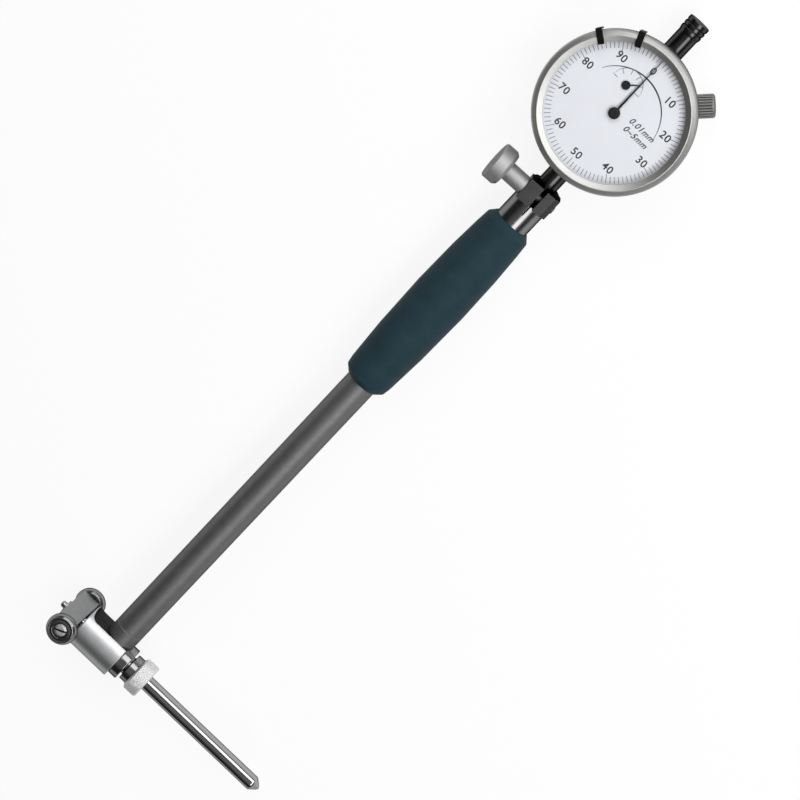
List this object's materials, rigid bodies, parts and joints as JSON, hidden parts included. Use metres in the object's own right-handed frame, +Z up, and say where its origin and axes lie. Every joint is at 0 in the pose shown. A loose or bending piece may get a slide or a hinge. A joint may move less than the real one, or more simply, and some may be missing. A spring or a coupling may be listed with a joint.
{
  "type": "dial bore gauge",
  "caption": "Two-point dial bore gauge: sprung contact and centring bridge on a long tube with a plastic grip, read by a clamped dial indicator.",
  "frame": {"origin": "on the ground under the middle of the gauge as it lies on its back", "axes": "+Y along the tube towards the dial, +X along the measuring axis towards the fixed anvil, +Z up, out of the dial"},
  "size_m": [0.1076, 0.3363, 0.0381],
  "materials": {
    "satin_chrome": "satin plating",
    "wheel_steel": "ground",
    "screw_steel": "blued",
    "polished_steel": "polished",
    "matte_nickel": "bead blasted",
    "tube_steel": "satin",
    "spring_steel": "bright wire",
    "hard_steel": "ground",
    "grip_plastic": "dark teal, matte",
    "dark_chrome": "dark satin plating",
    "bezel_chrome": "satin plating",
    "cover_steel": "satin",
    "crystal_clear": "clear",
    "dial_white": "white print",
    "hand_black": "black",
    "marker_black": "black",
    "brass": "satin",
    "pinion_steel": "polished"
  },
  "bodies": {
    "frame": {"head_body": "satin_chrome", "lever_pin": "polished_steel", "contact_spring": "spring_steel", "bridge_spring_front": "spring_steel", "bridge_spring_rear": "spring_steel", "anvil_bush": "satin_chrome", "tube_socket": "satin_chrome", "main_tube": "tube_steel", "rod_guide_low": "brass", "rod_guide_high": "brass", "grip": "grip_plastic", "stem_holder": "dark_chrome"},
    "anvil": {"fixed_anvil": "polished_steel"},
    "lock_nut": {"anvil_lock_nut": "matte_nickel"},
    "contact": {"measuring_contact": "polished_steel"},
    "bridge": {"centring_bridge": "satin_chrome", "bridge_pin_front": "polished_steel", "bridge_pin_rear": "polished_steel", "wheel_screw_front": "screw_steel", "wheel_screw_rear": "screw_steel"},
    "wheel_front": {"bridge_wheel_front": "wheel_steel"},
    "wheel_rear": {"bridge_wheel_rear": "wheel_steel"},
    "lever": {"transfer_lever": "hard_steel"},
    "rod": {"push_rod": "polished_steel"},
    "clamp_screw": {"clamp_screw": "matte_nickel"},
    "indicator": {"indicator_case": "bezel_chrome", "indicator_stem": "dark_chrome", "back_cover": "cover_steel", "cover_screw_1": "screw_steel", "cover_screw_2": "screw_steel", "cover_screw_3": "screw_steel", "cover_screw_4": "screw_steel", "top_cap": "dark_chrome", "movement_base": "brass", "movement_bridge": "brass", "movement_front": "brass", "dial_centre": "dial_white", "pillar_1": "brass", "pillar_2": "brass", "pillar_3": "brass", "spring_post": "hard_steel", "return_spring": "spring_steel"},
    "bezel": {"bezel": "bezel_chrome", "crystal": "crystal_clear", "dial_ring": "dial_white"},
    "marker_right": {"limit_marker_right": "marker_black"},
    "marker_left": {"limit_marker_left": "marker_black"},
    "bezel_knob": {"bezel_knob": "matte_nickel"},
    "spindle": {"spindle": "polished_steel", "spindle_point": "polished_steel", "spring_arm": "hard_steel"},
    "rack_wheel": {"rack_wheel": "brass", "counter_hand": "hand_black"},
    "pointer": {"centre_pinion": "pinion_steel", "pointer": "hand_black"}
  },
  "joints": [
    {"name": "pointer_turn", "type": "hinge", "parent": "indicator", "child": "pointer", "pos_m": [-0.02465, 0.12646, 0.0199], "axis": [0, 0.0286, 0.9996], "range_deg": [-432.1, 0]},
    {"name": "contact_slide", "type": "slide", "parent": "frame", "child": "contact", "axis": [1, 0, 0], "range_m": [0, 0.0012], "stiffness_N_per_m": 1500, "springref_m": -0.002, "deforming": ["contact_spring"]},
    {"name": "lever_turn", "type": "hinge", "parent": "frame", "child": "lever", "pos_m": [-0.02915, -0.15459, 0.01892], "axis": [0, 0.0286, 0.9996], "range_deg": [0, 15.3]},
    {"name": "rod_slide", "type": "slide", "parent": "frame", "child": "rod", "axis": [0, 0.9996, -0.0286], "range_m": [0, 0.0012]},
    {"name": "spindle_slide", "type": "slide", "parent": "indicator", "child": "spindle", "axis": [0, 0.9996, -0.0286], "range_m": [0, 0.0012], "stiffness_N_per_m": 50, "springref_m": -0.01, "deforming": ["return_spring"]},
    {"name": "rack_wheel_turn", "type": "hinge", "parent": "indicator", "child": "rack_wheel", "pos_m": [-0.0283, 0.13591, 0.01062], "axis": [0, 0.0286, 0.9996], "range_deg": [0, 43.25]},
    {"name": "bridge_slide", "type": "slide", "parent": "frame", "child": "bridge", "axis": [1, 0, 0], "range_m": [0, 0.00095], "stiffness_N_per_m": 1000, "springref_m": -0.003, "deforming": ["bridge_spring_front", "bridge_spring_rear"]},
    {"name": "wheel_front_spin", "type": "hinge", "parent": "bridge", "child": "wheel_front", "pos_m": [-0.04315, -0.15861, 0.03574], "axis": [0, 0.0286, 0.9996], "continuous": true},
    {"name": "wheel_rear_spin", "type": "hinge", "parent": "bridge", "child": "wheel_rear", "pos_m": [-0.04315, -0.15956, 0.00235], "axis": [0, 0.0286, 0.9996], "continuous": true},
    {"name": "anvil_turn", "type": "hinge", "parent": "frame", "child": "anvil", "pos_m": [-0.01465, -0.15909, 0.01905], "axis": [1, 0, 0], "range_deg": [0, 360]},
    {"name": "lock_nut_turn", "type": "hinge", "parent": "frame", "child": "lock_nut", "pos_m": [-0.00865, -0.15909, 0.01905], "axis": [1, 0, 0], "range_deg": [0, 360]},
    {"name": "clamp_screw_turn", "type": "hinge", "parent": "frame", "child": "clamp_screw", "pos_m": [-0.02368, 0.08571, 0.01899], "axis": [-0.9903, 0.004, 0.1391], "range_deg": [0, 360]},
    {"name": "indicator_turn", "type": "hinge", "parent": "frame", "child": "indicator", "pos_m": [-0.02465, 0.08582, 0.01205], "axis": [0, 0.9996, -0.0286], "range_deg": [-180, 180]},
    {"name": "bezel_turn", "type": "hinge", "parent": "indicator", "child": "bezel", "pos_m": [-0.02465, 0.12646, 0.0199], "axis": [0, 0.0286, 0.9996], "continuous": true},
    {"name": "marker_right_move", "type": "hinge", "parent": "bezel", "child": "marker_right", "pos_m": [-0.02465, 0.12646, 0.0199], "axis": [0, 0.0286, 0.9996], "range_deg": [-90, 15]},
    {"name": "marker_left_move", "type": "hinge", "parent": "bezel", "child": "marker_left", "pos_m": [-0.02465, 0.12646, 0.0199], "axis": [0, 0.0286, 0.9996], "range_deg": [-15, 90]},
    {"name": "bezel_knob_turn", "type": "hinge", "parent": "indicator", "child": "bezel_knob", "pos_m": [-0.00381, 0.14776, 0.00978], "axis": [0.6947, 0.719, -0.0205], "range_deg": [0, 360]}
  ],
  "couplings": [
    {"joint": "lever_turn", "follows": "contact_slide", "rad_per_m": 222.22},
    {"joint": "rod_slide", "follows": "contact_slide", "ratio": 1},
    {"joint": "spindle_slide", "follows": "contact_slide", "ratio": 1},
    {"joint": "rack_wheel_turn", "follows": "contact_slide", "rad_per_m": 628.32},
    {"joint": "pointer_turn", "follows": "contact_slide", "rad_per_m": -6283.2}
  ]
}
